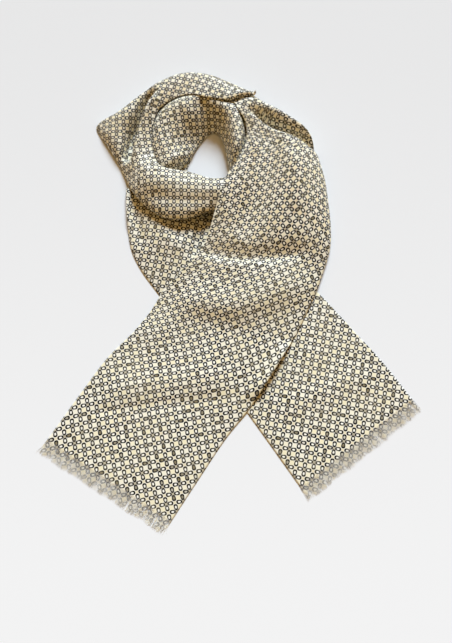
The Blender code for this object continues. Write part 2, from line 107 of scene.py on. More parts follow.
TAIL_LEFT = [
    (-219, -155, 0.7, 0.0, -65, -251, 0.7, 0.0, 0.9, 0.5),
    (-182, -97, 0.8, 0.0, -32, -200, 0.8, 0.0, 1.6, 0.5),
    (-149, -48, 1.2, 0.0, 2, -149, 1.0, 0.0, 2.5, 0.4),
    (-118, -14, 1.6, 0.0, 36, -106, 2.5, 0.0, 4.0, 0.4),
    (-97, 14, 2.4, 0.0, 64, -62, 4.5, 0.0, 5.0, 0.4),
    (-90, 27, 3.4, 0.5, 77, -41, 4.0, 0.5, 5.5, 0.45),
    (-82, 42, 5.0, 1.0, 90, -20, 3.5, 1.0, 8.5, 0.46),
    (-63, 64, 9.5, 2.0, 107, 16, 4.5, 1.0, 12.0, 0.46),
    (-46, 82, 13.0, 3.0, 120, 44, 5.0, 2.0, 15.5, 0.48),
    (-32, 99, 15.0, 3.0, 130, 72, 5.0, 3.0, 17.5, 0.54),
    (-23, 122, 19.0, 4.0, 139, 102, 5.0, 4.0, 24.5, 0.66),
    (-16, 147, 26.0, 4.0, 141, 134, 6.0, 5.0, 31.5, 0.68),
    (-7, 174, 31.0, 5.0, 139, 168, 7.0, 6.0, 37.5, 0.68),
    (3, 202, 33.0, 5.0, 135, 204, 11.0, 9.0, 42.0, 0.66),
    (20, 226, 35.0, 6.0, 126, 238, 17.0, 15.0, 44.0, 0.6),
    (27, 252, 35.0, 7.0, 117.5, 264, 32.0, 30.0, 44.0, 0.55),
    (26, 280, 35.0, 7.0, 84, 291, 38.0, 36.0, 42.0, 0.5),
    (12, 308, 34.0, 4.0, 46, 317, 34.0, 30.0, 38.0, 0.5),
    (8, 323, 31.0, 4.0, 38, 325, 31.0, 27.0, 33.0, 0.5),
]

OUTER_TURN = [
    (42, 328, 34.0, 6.0, 40, 322, 35.5, 0.0, 36.5, 0.6),
    (32, 333, 31.0, 28.0, 26, 320, 36.0, 2.0, 41.0, 0.7),
    (12, 342, 34.0, 32.0, 6, 312, 37.0, 3.0, 41.0, 0.7),
    (-27, 358.5, 35.0, 33.0, -21, 315, 32.0, 4.0, 40.0, 0.5),
    (-65, 360, 34.0, 32.0, -56, 322, 27.0, 3.0, 38.0, 0.4),
    (-107, 343, 28.0, 26.0, -86, 311, 22.0, 5.0, 35.0, 0.5),
    (-153, 309, 17.0, 15.0, -98, 290, 21.0, 2.0, 30.0, 0.6),
    (-184, 296, 3.5, 2.0, -102, 266, 20.0, 1.5, 22.0, 0.67),
    (-170, 266, 2.5, 1.5, -101, 244, 21.0, 1.5, 21.0, 0.68),
    (-153, 238, 2.5, 1.5, -95, 227, 24.0, 2.0, 24.0, 0.66),
    (-138, 206, 4.0, 2.5, -89, 216, 28.0, 6.0, 31.0, 0.65),
    (-126, 180, 15.0, 4.0, -80, 211, 28.0, 6.0, 35.0, 0.6),
    (-104, 155, 18.0, 4.0, -66, 208, 28.0, 8.0, 36.0, 0.6),
    (-83, 140, 21.0, 4.0, -50, 206, 27.0, 10.0, 36.0, 0.6),
    (-62, 136, 22.0, 4.0, -36, 201, 27.0, 10.0, 35.0, 0.6),
    (-40, 142, 22.0, 4.0, -21, 196, 27.0, 10.0, 34.0, 0.6),
    (-18, 150, 21.0, 4.0, -7, 196, 27.0, 10.0, 33.0, 0.6),
    (6, 156, 19.0, 4.0, 8, 200, 26.0, 8.0, 31.0, 0.6),
    (28, 160, 18.0, 4.0, 22, 201, 24.0, 6.0, 28.0, 0.6),
]

INNER_TURN = [
    (41, 209, 16.0, 4.0, 6, 207, 6.0, 4.0, 31.0, 0.7),
    (43, 228, 18.0, 4.0, 4, 221.5, 7.0, 5.0, 35.0, 0.68),
    (43, 252, 22.0, 5.0, 1, 238.5, 8.0, 6.0, 38.0, 0.64),
    (40, 284, 24.0, 5.0, -3, 259, 11.0, 9.0, 38.0, 0.6),
    (25, 311, 24.0, 5.0, -9, 274, 10.5, 8.5, 38.0, 0.46),
    (-8, 329, 22.0, 5.0, -17, 283, 3.0, 2.0, 38.0, 0.38),
    (-40, 336, 20.0, 5.0, -27, 277, 3.0, 2.0, 38.0, 0.3),
    (-68, 329, 19.0, 5.0, -36, 264, 3.0, 2.0, 37.0, 0.26),
    (-94, 311, 14.0, 5.0, -43, 252, 4.0, 3.0, 34.0, 0.24),
    (-108, 284, 11.0, 4.0, -48, 240, 5.0, 4.0, 30.0, 0.28),
    (-110, 252, 10.0, 4.0, -52, 228, 10.0, 8.0, 27.0, 0.42),
    (-106, 228, 9.0, 4.0, -56, 212, 8.0, 6.0, 22.0, 0.45),
    (-100, 206, 8.0, 4.0, -56, 198, 4.0, 3.0, 16.0, 0.45),
]

TAIL_RIGHT = [
    (-137, 192, 3.0, 2.0, -64, 180, 5.0, 2.0, 8.0, 0.6),
    (-136, 166, 5.0, 2.6, -42, 162, 4.0, 2.0, 9.0, 0.5),
    (-133, 136, 3.4, 1.8, -20, 142, 3.0, 2.0, 10.0, 0.42),
    (-127, 103, 2.4, 1.2, 4, 122, 4.0, 2.0, 11.0, 0.45),
    (-113, 73, 1.8, 0.8, 32, 103, 7.0, 2.0, 9.5, 0.6),
    (-89, 39, 1.0, 0.2, 62, 84, 5.0, 2.0, 8.0, 0.7),
    (-60, 0, 0.7, 0.0, 92, 64, 3.0, 1.5, 5.0, 0.7),
    (-30, -41, 0.7, 0.0, 119, 41, 1.5, 0.6, 2.6, 0.7),
    (0, -83, 0.7, 0.0, 142, 14, 1.2, 0.3, 2.0, 0.6),
    (27, -121, 0.7, 0.0, 163, -12, 1.0, 0.2, 2.2, 0.5),
    (59, -167, 0.7, 0.0, 198, -55, 0.8, 0.0, 1.6, 0.5),
    (90, -212, 0.7, 0.0, 232, -104, 0.7, 0.0, 0.9, 0.5),
]

print("sections:", [len(rows) for rows in (TAIL_LEFT, OUTER_TURN, INNER_TURN, TAIL_RIGHT)])

# %% [markdown]
# ## Creases
#
# Thin silk that is bunched in a hand keeps long soft creases, each with a steep
# side and a slack side. A table holds the ones that the picture shows, and
# similar ones where the cloth faces away from it. Each runs along a curve
# through three places, rises or sinks by its height, and spreads by one width to
# the left of its run and by another to the right.

# %% Creases of each stretch
CREASE_COLUMNS = (
    "start_x", "start_y", "middle_x", "middle_y", "end_x", "end_y",
    "height", "left_width", "right_width",
)

CREASES = {
    "tail_left": [
        (-36, 94, 36, 82, 112, 92, -4.5, 18, 6),
        (-68, 38, 10, 18, 118, 58, 6.0, 34, 22),
        (28, 300, 81, 266, 137, 239, -22.0, 16, 5),
        (92, 236, 95, 190, 94, 140, 3.0, 12, 12),
        (37, 300, 39, 262, 39, 222, 4.0, 8, 9),
        (57, 286, 52, 205, 16, 108, -9.0, 22, 24),
        (-165, -90, -70, -83, 15, -69, 3.0, 26, 24),
        (-172, -118, -106, -112, 20, -96, -1.2, 5, 9),
        (-110, -28, -70, 0, -40, 8, 2.0, 20, 20),
        (84, -30, 62, -66, 32, -108, 7.0, 8, 13),
    ],
    "outer_turn": [
        (-100, 338, -124, 284, -136, 226, -30.0, 5, 10),
        (-98, 326, -117, 290, -125, 224, 11.0, 9, 5),
        (-176, 284, -158, 262, -146, 232, 3.0, 10, 10),
        (-110, 176, -60, 160, -10, 168, -3.0, 9, 9),
        (-84, 352, -40, 356, 4, 336, 1.6, 7, 10),
        (-96, 194, -60, 184, -20, 186, 1.4, 8, 10),
    ],
    "inner_turn": [
        (-36, 318, -24, 298, -14, 276, -7.0, 7, 10),
        (-78, 208, -60, 225, -38, 249, -20.0, 3, 12),
        (-86, 214, -65, 232, -38, 257, 4.0, 9, 3),
        (-64, 312, -52, 296, -42, 276, 2.5, 9, 10),
        (20, 300, 27, 256, 5, 204, -12.0, 6, 5),
    ],
    "tail_right": [
        (-135, 196, -134, 166, -130, 128, 5.0, 5, 5),
        (-126, 186, -120, 146, -108, 96, -8.0, 8, 15),
        (-100, 150, -80, 120, -60, 92, 2.0, 14, 14),
        (-32, 158, -35, 122, -44, 80, -9.0, 12, 9),
        (60, -120, 130, -90, 190, -70, 1.5, 16, 16),
    ],
}
print("creases:", {name: len(rows) for name, rows in CREASES.items()})

# %% [markdown]
# ## From a table to a surface
#
# Rows of a table are few, and cloth is smooth. A curve through the rows gives a
# section about every two millimetres. Blender could draw it as a spline, but numpy
# works on all the columns at once and leaves a plain grid of points.

# %% Sections all along a stretch
SPACING = 1.9
POINTS_ACROSS = 261
TURN_POINTS = 24


def smooth_rows(rows):
    """Even steps along a smooth curve through the rows of a table.

    Between two rows every column is the cubic h(t) with the rows' values at its
    ends and their central differences as slopes.
    """
    table = np.array(rows, dtype=float)
    middle = (table[:, 0:2] + table[:, 4:6]) / 2
    station = np.concatenate([[0.0], np.cumsum(np.linalg.norm(np.diff(middle, axis=0), axis=1))])
    slope = np.gradient(table, station, axis=0)
    wanted = np.linspace(0.0, station[-1], int(station[-1] / SPACING) + 1)
    piece = np.clip(np.searchsorted(station, wanted, side="right") - 1, 0, len(station) - 2)
    length = (station[piece + 1] - station[piece])[:, None]
    t = (wanted - station[piece])[:, None] / length
    return (
        (2 * t**3 - 3 * t**2 + 1) * table[piece]
        + (t**3 - 2 * t**2 + t) * length * slope[piece]
        + (3 * t**2 - 2 * t**3) * table[piece + 1]
        + (t**3 - t**2) * length * slope[piece + 1]
    )


def quarter_sine(share):
    """sin(share * 90 degrees), level below 0 and above 1."""
    return np.sin(np.clip(share, 0.0, 1.0) * math.pi / 2)


def section_curves(stations, side_round):
    """Points from the left hem to the right hem of every section.

    height = side + (crown - side) * quarter_sine(share of the way)**roundness,
    and at each side the cloth turns down by the drop, and a third of it inwards.
    """
    column = dict(zip(SECTION_COLUMNS, stations.T[:, :, None]))
    turn = np.linspace(1.0, 0.0, TURN_POINTS)[None, :-1]
    across = (1 - np.cos(np.linspace(0.0, math.pi, POINTS_ACROSS)))[None, :] / 2
    at = column["crown_at"]
    left_part = quarter_sine(across / at) ** side_round[0]
    right_part = quarter_sine((1 - across) / (1 - at)) ** side_round[1]
    left_z = column["left_z"] + (column["crown_z"] - column["left_z"]) * left_part
    right_z = column["right_z"] + (column["crown_z"] - column["right_z"]) * right_part
    span = np.stack([column["right_x"] - column["left_x"], column["right_y"] - column["left_y"]])
    width = np.sqrt((span**2).sum(0))
    left_in = turn**2 / 3 * column["left_drop"] / width
    right_in = 1 - turn[:, ::-1] ** 2 / 3 * column["right_drop"] / width
    place = np.concatenate([left_in, np.broadcast_to(across, left_z.shape), right_in], axis=1)
    height = np.concatenate([
        column["left_z"] - turn * column["left_drop"],
        np.where(across < at, left_z, right_z),
        column["right_z"] - turn[:, ::-1] * column["right_drop"],
    ], axis=1)
    return np.stack([column["left_x"] + place * span[0], column["left_y"] + place * span[1], height], axis=-1)


print("sections along the left tail:", len(smooth_rows(TAIL_LEFT)))

# %% [markdown]
# A crease could be sculpted, or painted as bump. Bump throws no shadow, and the
# deep creases here are nearly black inside, so they are real dents: a bell
# across the crease's run, fading out at both of its ends.

# %% Creases on a surface
RUN_POINTS = 41
RUN_FADE = 0.25
BELL_STEEPNESS = 1.4
DEEP_TROUGH = 2.5
HEM_HEIGHT, HEM_FADE = 3.0, 10.0


def run_of(crease):
    """Points of the parabola through a crease's start, middle and end, and its direction and share there."""
    start = np.array([crease["start_x"], crease["start_y"]], dtype=float)
    middle = np.array([crease["middle_x"], crease["middle_y"]], dtype=float)
    end = np.array([crease["end_x"], crease["end_y"]], dtype=float)
    share = np.linspace(0.0, 1.0, RUN_POINTS)[:, None]
    bend = 2 * middle - (start + end) / 2
    path = (1 - share) ** 2 * start + 2 * share * (1 - share) * bend + share**2 * end
    return path, np.gradient(path, axis=0), share[:, 0]


def crease_rise(points, crease):
    """Height that one crease adds at each point.

    height * exp(-steepness * (distance / width)**2), with the width of the side
    that the point lies on, times a quarter sine over the first and last quarter
    of the run. Deep troughs fade where the cloth comes down to its hem.
    """
    path, direction, share = run_of(crease)
    offset = points[..., None, :2] - path
    away = np.linalg.norm(offset, axis=-1)
    nearest = away.argmin(axis=-1)
    away = away.min(axis=-1)
    aside = np.take_along_axis(offset, nearest[..., None, None], axis=-2)[..., 0, :]
    toward = direction[nearest]
    left = toward[..., 0] * aside[..., 1] - toward[..., 1] * aside[..., 0] > 0
    width = np.where(left, crease["left_width"], crease["right_width"])
    along = share[nearest]
    rise = crease["height"] * np.exp(-BELL_STEEPNESS * (away / width) ** 2)
    rise *= quarter_sine(along / RUN_FADE) * quarter_sine((1 - along) / RUN_FADE)
    if crease["height"] < -DEEP_TROUGH:
        rise *= np.clip((points[..., 2] - HEM_HEIGHT) / HEM_FADE, 0.0, 1.0)
    return rise


heights = [dict(zip(CREASE_COLUMNS, row))["height"] for rows in CREASES.values() for row in rows]
print("creases from", min(heights), "to", max(heights), "mm")

# %% [markdown]
# A dent stretches the cloth that it runs through. Points at equal lengths of
# cloth keep the grid's squares alike. A subdivision could round what is sharp
# between two dents, and an average with the neighbours does it with fewer points.

# %% Even and soft grids
TINY = 1e-9


def even_columns(curves):
    """Each section with its points at equal lengths of cloth, by linear steps between the old ones."""
    steps = np.linalg.norm(np.diff(curves, axis=1), axis=-1)
    length = np.concatenate([np.zeros((len(curves), 1)), np.cumsum(steps, axis=1)], axis=1)
    count = int(np.median(length[:, -1]) / SPACING) + 1
    wanted = np.linspace(0.0, 1.0, count) * length[:, -1:]
    after = (length[:, None, :] < wanted[..., None]).sum(axis=-1)
    after = np.clip(after, 1, curves.shape[1] - 1)
    low = np.take_along_axis(length, after - 1, axis=1)
    high = np.take_along_axis(length, after, axis=1)
    share = ((wanted - low) / np.maximum(high - low, TINY))[..., None]
    first = np.take_along_axis(curves, (after - 1)[..., None], axis=1)
    second = np.take_along_axis(curves, after[..., None], axis=1)
    return first * (1 - share) + second * share


def soften(grid, passes):
    """Each inner point becomes half itself and a quarter of each neighbour, first across and then along."""
    for _ in range(passes):
        grid[:, 1:-1] = (grid[:, :-2] + 2 * grid[:, 1:-1] + grid[:, 2:]) / 4
        grid[1:-1] = (grid[:-2] + 2 * grid[1:-1] + grid[2:]) / 4
    return grid


print("points lie", SPACING, "mm apart")

# %% [markdown]
# ## Laying one stretch over another
#
# Cloth on cloth never crosses. A simulation would find that out by itself, but
# its folds would slide out of place. A map of the highest cloth over each square
# millimetre is enough: the next stretch is lifted until it clears the map, and
# its lifts are evened out so that it drapes over what it covers.

# %% Height map
LAYER_GAP = 0.75
READS = 3


class HeightMap:
    """The highest cloth over a plan of small squares. A square without cloth keeps the empty height."""

    CELL = 1.0
    LOW = np.array([-260.0, -300.0])
    CELLS = (540, 705)

    def __init__(self, empty=-1.0):
        self.empty = empty
        self.height = np.full(self.CELLS, empty)

    def squares(self, points):
        """Row and column of the square under each point."""
        place = ((points[..., :2] - self.LOW) / self.CELL).astype(int)
        return tuple(np.moveaxis(np.clip(place, 0, np.array(self.CELLS) - 1), -1, 0))

    def add(self, grid):
        """Take in a grid, read three times from each point to the next, and the squares beside it."""
        for axis in (0, 1):
            places = np.linspace(0, grid.shape[axis] - 1, (grid.shape[axis] - 1) * READS + 1)
            low = np.clip(places.astype(int), 0, grid.shape[axis] - 2)
            share = (places - low).reshape([-1 if side == axis else 1 for side in range(grid.ndim)])
            grid = np.take(grid, low, axis=axis) * (1 - share) + np.take(grid, low + 1, axis=axis) * share
        layer = np.full(self.CELLS, self.empty)
        np.maximum.at(layer, self.squares(grid), grid[..., 2])
        for axis in (0, 1):
            layer = np.maximum(layer, np.maximum(np.roll(layer, 1, axis), np.roll(layer, -1, axis)))
        self.height = np.maximum(self.height, layer)

    def under(self, points):
        """The map's height at each point."""
        return self.height[self.squares(points)]


def lay_over(grid, below, passes=90):
    """Lift a grid clear of the map.

    lift = max(what is needed, half the lift + half the average of its neighbours' lifts), many times over.
    """
    ground = below.under(grid)
    need = np.where(ground > 0, np.maximum(ground + LAYER_GAP - grid[..., 2], 0.0), 0.0)
    lift = need.copy()
    for _ in range(passes):
        edged = np.pad(lift, 1, mode="edge")
        around = (edged[:-2, 1:-1] + edged[2:, 1:-1] + edged[1:-1, :-2] + edged[1:-1, 2:]) / 4
        lift = np.maximum(need, (lift + around) / 2)
    lifted = grid.copy()
    lifted[..., 2] += lift
    return lifted


print("height map:", HeightMap.CELLS, "squares")

# %% [markdown]
# ## The four stretches
#
# They are made in the order in which the real scarf was wound: what lies lowest
# comes first. The outer turn is one surface here, although the model parts it at
# the left corner. Its front lies under the left stretch and its back over it, so
# its back is laid once more at the end.

# %% Stretches of silk
SIDE_ROUND = {
    "tail_left": (1.1, 0.6),
    "outer_turn": (0.9, 0.55),
    "inner_turn": (0.7, 1.0),
    "tail_right": (0.8, 0.8),
}
SOFTENING = 3
LOWEST = 0.5
FRONT_FROM = 0.48


def stretch(name, rows):
    """The middle surface of one stretch, as a grid of points in millimetres on the table."""
    curves = section_curves(smooth_rows(rows), SIDE_ROUND[name])
    for row in CREASES[name]:
        curves[..., 2] += crease_rise(curves, dict(zip(CREASE_COLUMNS, row)))
    grid = soften(even_columns(curves), SOFTENING)
    grid[..., 2] = np.maximum(grid[..., 2], LOWEST)
    return grid


below = HeightMap()
tail_right_grid = stretch("tail_right", TAIL_RIGHT)
below.add(tail_right_grid)
inner_turn_grid = lay_over(stretch("inner_turn", INNER_TURN), below)
below.add(inner_turn_grid)
outer_turn_grid = lay_over(stretch("outer_turn", OUTER_TURN), below)
front_start = int(len(outer_turn_grid) * FRONT_FROM)
below.add(outer_turn_grid[front_start:])
tail_left_grid = lay_over(stretch("tail_left", TAIL_LEFT), below)
tail_left_map = HeightMap()
tail_left_map.add(tail_left_grid)
outer_turn_grid[:front_start + 1] = lay_over(outer_turn_grid, tail_left_map)[:front_start + 1]
for title, grid in (("tail_right", tail_right_grid), ("inner_turn", inner_turn_grid),
                    ("outer_turn", outer_turn_grid), ("tail_left", tail_left_grid)):
    print(title, grid.shape, "top", round(grid[..., 2].max(), 1))

# %% [markdown]
# ## Where the print lies on the cloth
#
# A print needs to know where each point of the surface was when the cloth was
# flat. Projecting from above would smear it on every slope. On the left tail and
# shoulder the print follows the strip, so lengths along it and across it serve.
# The turns and the right tail bend without their print bending with them. Their
# rows are unrolled one beside the other. Springs along every small edge then set
# them right, until each edge is about as long as it is in the folded cloth.

# %% Flattening
STRIP_WIDTH = 180.0
HEADING_ROWS = 8


def lengths_along(grid, axis):
    """Running length of cloth along an axis of a grid."""
    steps = np.linalg.norm(np.diff(grid, axis=axis), axis=-1)
    start = np.zeros_like(np.take(steps, [0], axis=axis))
    return np.concatenate([start, np.cumsum(steps, axis=axis)], axis=axis)


def following_strip(grid, straight_on):
    """Flat places on a strip that bends.

    The first number is the running length across, counted from the middle line. The second is
    that line's own running length. After a share of the rows the line goes on straight.
    """
    middle = grid[:, grid.shape[1] // 2].copy()
    last = int(len(grid) * straight_on)
    heading = middle[last, :2] - middle[last - HEADING_ROWS, :2]
    heading /= np.linalg.norm(heading)
    onward = np.arange(len(grid) - last)[:, None] * SPACING * heading
    middle[last:, :2] = middle[last, :2] + onward
    side = np.array([heading[1], -heading[0]])
    across = lengths_along(grid, 1)
    offset = -across[:, grid.shape[1] // 2]
    offset[last:] = ((grid[last:, 0, :2] - middle[last:, :2]) * side).sum(axis=1)
    offset[last:] += offset[last - 1] - offset[last]
    along = lengths_along(middle[:, None, :], 0)
    return np.stack([STRIP_WIDTH / 2 + across + offset[:, None], along + 0 * across], axis=-1)


# %% Springs
def springs(grid):
    """The edges of a grid, both ways and along both diagonals, with their lengths on the cloth."""
    one, other = slice(None, -1), slice(1, None)
    every = slice(None)
    pairs = [((one, every), (other, every)), ((every, one), (every, other)),
             ((one, one), (other, other)), ((one, other), (other, one))]
    return [(a, b, np.linalg.norm(grid[b] - grid[a], axis=-1)) for a, b in pairs]


def relax(flat, edges, passes, share=0.12):
    """Each edge pulls or pushes its two ends along itself, by its wrong length times a share."""
    for _ in range(passes):
        push = np.zeros_like(flat)
        for a, b, length in edges:
            gap = flat[b] - flat[a]
            pull = gap * (1 - length / np.maximum(np.linalg.norm(gap, axis=-1), TINY))[..., None]
            push[a] += pull
            push[b] -= pull
        flat = flat + push * share
    return flat


def between(grid, rows, columns):
    """A small grid read at broken row and column numbers, linearly."""
    low_row = np.clip(rows.astype(int), 0, grid.shape[0] - 2)
    low_column = np.clip(columns.astype(int), 0, grid.shape[1] - 2)
    down = (rows - low_row)[:, None, None]
    over = (columns - low_column)[None, :, None]
    top = grid[low_row][:, low_column] * (1 - over) + grid[low_row][:, low_column + 1] * over
    foot = grid[low_row + 1][:, low_column] * (1 - over) + grid[low_row + 1][:, low_column + 1] * over
    return top * (1 - down) + foot * down


def unrolled(grid):
    """Every row laid straight along its own chord, as long as its cloth is, about the middle of its plan."""
    across = lengths_along(grid, 1)
    chord = grid[:, -1, :2] - grid[:, 0, :2]
    chord /= np.linalg.norm(chord, axis=-1, keepdims=True)
    middle = grid[..., :2].mean(axis=1)
    return middle[:, None] + (across - across[:, -1:] / 2)[..., None] * chord[:, None]


# %% Laid flat
# Steps from one row or column that is read to the next, and how often the springs act.
FLATTENING = ((24, 900), (12, 900), (4, 500), (1, 90))


def picked(count, stride):
    """Every so many of the first whole numbers, and the last one."""
    return np.unique(np.append(np.arange(0, count, stride), count - 1))


def laid_flat(grid, grain):
    """A stretch laid flat: unrolled row by row, set right by springs on ever finer grids, then turned.

    grain is the direction of the strip's length over the table, in degrees. It runs up in the flat places.
    """
    flat = unrolled(grid)
    old_rows, old_columns = (np.arange(count) for count in grid.shape[:2])
    for stride, passes in FLATTENING:
        rows, columns = (picked(count, stride) for count in grid.shape[:2])
        flat = between(flat, np.interp(rows, old_rows, np.arange(len(old_rows))),
                       np.interp(columns, old_columns, np.arange(len(old_columns))))
        flat = relax(flat, springs(grid[np.ix_(rows, columns)]), passes)
        old_rows, old_columns = rows, columns
    angle = math.radians(90.0 - grain)
    turn = np.array([[math.cos(angle), -math.sin(angle)], [math.sin(angle), math.cos(angle)]])
    return flat @ turn.T


# Gathered cloth hides some of its length, so the print of the turns is a little denser.
GATHERED = 1.08

places = {
    "tail_left": following_strip(tail_left_grid, straight_on=0.9),
    "outer_turn": laid_flat(outer_turn_grid, grain=40.0) * GATHERED,
    "inner_turn": laid_flat(inner_turn_grid, grain=42.0) * GATHERED,
    "tail_right": laid_flat(tail_right_grid, grain=-55.5),
}
for title, place in places.items():
    print(title, "flat, mm:", np.ptp(place.reshape(-1, 2), axis=0).round().tolist())

# %% [markdown]
# ## Shader sums in Python
#
# A print is a sum: which repeat a point lies in, how far it is from the nearest
# link, whether that is on the link's outline. Wired by hand this is a screen
# full of Math nodes. A small class lets Python's own operators add them.

# %% Node helpers
class Field:
    """A number that varies over the surface. Operators on it add Math nodes."""

    def __init__(self, finish, socket):
        self.finish = finish
        self.socket = socket

    def math(self, operation, *values):
        """One Math node on these values."""
        node = self.finish.node("Math", inputs=dict(enumerate(values)), operation=operation)
        return Field(self.finish, node.outputs[0])

    def __add__(self, other):
        return self.math("ADD", self, other)

    def __radd__(self, other):
        return self.math("ADD", other, self)

    def __sub__(self, other):
        return self.math("SUBTRACT", self, other)

    def __rsub__(self, other):
        return self.math("SUBTRACT", other, self)

    def __mul__(self, other):
        return self.math("MULTIPLY", self, other)

    def __rmul__(self, other):
        return self.math("MULTIPLY", other, self)

    def __truediv__(self, other):
        return self.math("DIVIDE", self, other)

    def __pow__(self, other):
        return self.math("POWER", self, other)

    def __abs__(self):
        return self.math("ABSOLUTE", self)

    def part(self):
        """The part after the point, from 0 to 1."""
        return self.math("FRACT", self)

    def whole(self):
        """The whole number below."""
        return self.math("FLOOR", self)

    def least(self, other):
        return self.math("MINIMUM", self, other)

    def most(self, other):
        return self.math("MAXIMUM", self, other)

    def sine(self):
        return self.math("SINE", self)

    def rising(self, low, high):
        """0 below low, 1 above high, and smooth between them."""
        node = self.finish.node("MapRange", inputs={"Value": self, "From Min": low, "From Max": high},
                                interpolation_type="SMOOTHSTEP")
        return Field(self.finish, node.outputs["Result"])


# %% Materials
class Finish:
    """One material and its nodes."""

    def __init__(self, name, **constants):
        self.material = bpy.data.materials.new(name)
        self.material.use_nodes = True
        self.nodes = self.material.node_tree.nodes
        self.shader = self.nodes["Principled BSDF"]
        for title, value in constants.items():
            self.shader.inputs[title.replace("_", " ")].default_value = value

    def feed(self, socket, value):
        """Link a field or an output to a socket, or set the socket's own value."""
        if isinstance(value, Field):
            value = value.socket
        if isinstance(value, bpy.types.NodeSocket):
            self.material.node_tree.links.new(value, socket)
        else:
            socket.default_value = value

    def node(self, kind, inputs=None, **settings):
        """Add a node: first its settings, then what its inputs take."""
        made = self.nodes.new("ShaderNode" + kind)
        for title, value in settings.items():
            setattr(made, title, value)
        for title, value in (inputs or {}).items():
            self.feed(made.inputs[title], value)
        return made

    def field(self, kind, output, inputs=None, **settings):
        """The same, as a field of one of the node's outputs."""
        return Field(self, self.node(kind, inputs, **settings).outputs[output])

    def mixed(self, share, first, second):
        """A colour between two colours."""
        made = self.node("Mix", data_type="RGBA")
        for title, value in (("Factor_Float", share), ("A_Color", first), ("B_Color", second)):
            self.feed(next(socket for socket in made.inputs if socket.identifier == title), value)
        return next(socket for socket in made.outputs if socket.identifier == "Result_Color")

    def made(self, **values):
        """Feed the shader's sockets, and hand over the material."""
        for title, value in values.items():
            self.feed(self.shader.inputs[title.replace("_", " ")], value)
        return self.material


def srgb(red, green, blue):
    """A colour given by its three screen values from 0 to 255, as Blender's linear one."""
    share = np.array([red, green, blue]) / 255.0
    linear = np.where(share <= 0.04045, share / 12.92, ((share + 0.055) / 1.055) ** 2.4)
    return (*linear.tolist(), 1.0)


print("white:", srgb(255, 255, 255))

# %% [markdown]
# ## The printed silk
#
# The print is an old trellis: oval links lie along a diagonal net. At every
# other knot four links point at a small grey cross, and at the knots between
# them four blunt ends leave a little square. The net's meshes are filled with a
# pale yellow. A tiled picture could hold it, but sums on the flat place of the
# cloth stay sharp at any size.

# %% Print
REPEAT = 15.0
WEAVE_PITCH = 0.45

GROUND = srgb(250, 246, 234)
PALE_MESH = srgb(248, 242, 221)
YELLOW_MESH = srgb(246, 236, 202)
KNOT_FILL = srgb(236, 224, 190)
LINK_FILL = srgb(250, 247, 236)
DARK_FILL = srgb(132, 120, 92)
LINK_LINE = srgb(8, 4, 0)
CROSS_LINE = srgb(140, 134, 126)
UNEVEN_DYE = srgb(214, 200, 158)
DYE_SHARE = 0.10
SILK_ROUGHNESS, ROUGHER_SPOTS = 0.44, 0.16

# A link's sizes are in repeats of the print.
LINK_SHIFT = 0.03
LINK_LENGTH = 0.31
LINK_WIDTH, LINK_TAPER = 0.205, 0.12
LINK_ROUNDNESS = 2.5
MESH_ROUNDNESS = 3

# Where each soft edge starts and ends: shares of a link's size, shares of a chance, or repeats.
SOFT_EDGES = {
    "line": (1.10, 1.20),
    "inside": (0.47, 0.56),
    "cross thin": (0.008, 0.022),
    "cross arm": (0.24, 0.38),
    "mesh": (0.24, 0.30),
    "knot": (0.12, 0.18),
    "tint": (0.35, 0.75),
    "dark": (0.5, 1.0),
}
DARK_RARITY = 3


# %% Links
def link_distance(along, aside):
    """1 on the outline of a link, less inside it.

    A rounded oval that is narrower towards the cross it points at:
    (|along + shift| / length)**p + (|aside| / width(along))**p, to the power 1/p.
    """
    shifted = along + LINK_SHIFT
    width = LINK_WIDTH + LINK_TAPER * shifted
    lengthwise = (abs(shifted) / LINK_LENGTH) ** LINK_ROUNDNESS
    crosswise = (abs(aside) / width) ** LINK_ROUNDNESS
    return (lengthwise + crosswise) ** (1 / LINK_ROUNDNESS)


def centred(repeats):
    """The way from the middle of the repeat that a place lies in, from -0.5 to 0.5."""
    return repeats.part() - 0.5


def pointing(first, second):
    """1 where two whole numbers have an even sum, and -1 where it is odd."""
    return ((first.whole() + second.whole()) / 2).part() * -4 + 1


def chance_of(finish, first, second):
    """A random number from 0 to 1 for each pair of numbers."""
    pair = finish.node("CombineXYZ", inputs={0: first, 1: second})
    return finish.field("TexWhiteNoise", "Value", {"Vector": pair.outputs[0]}, noise_dimensions="2D")


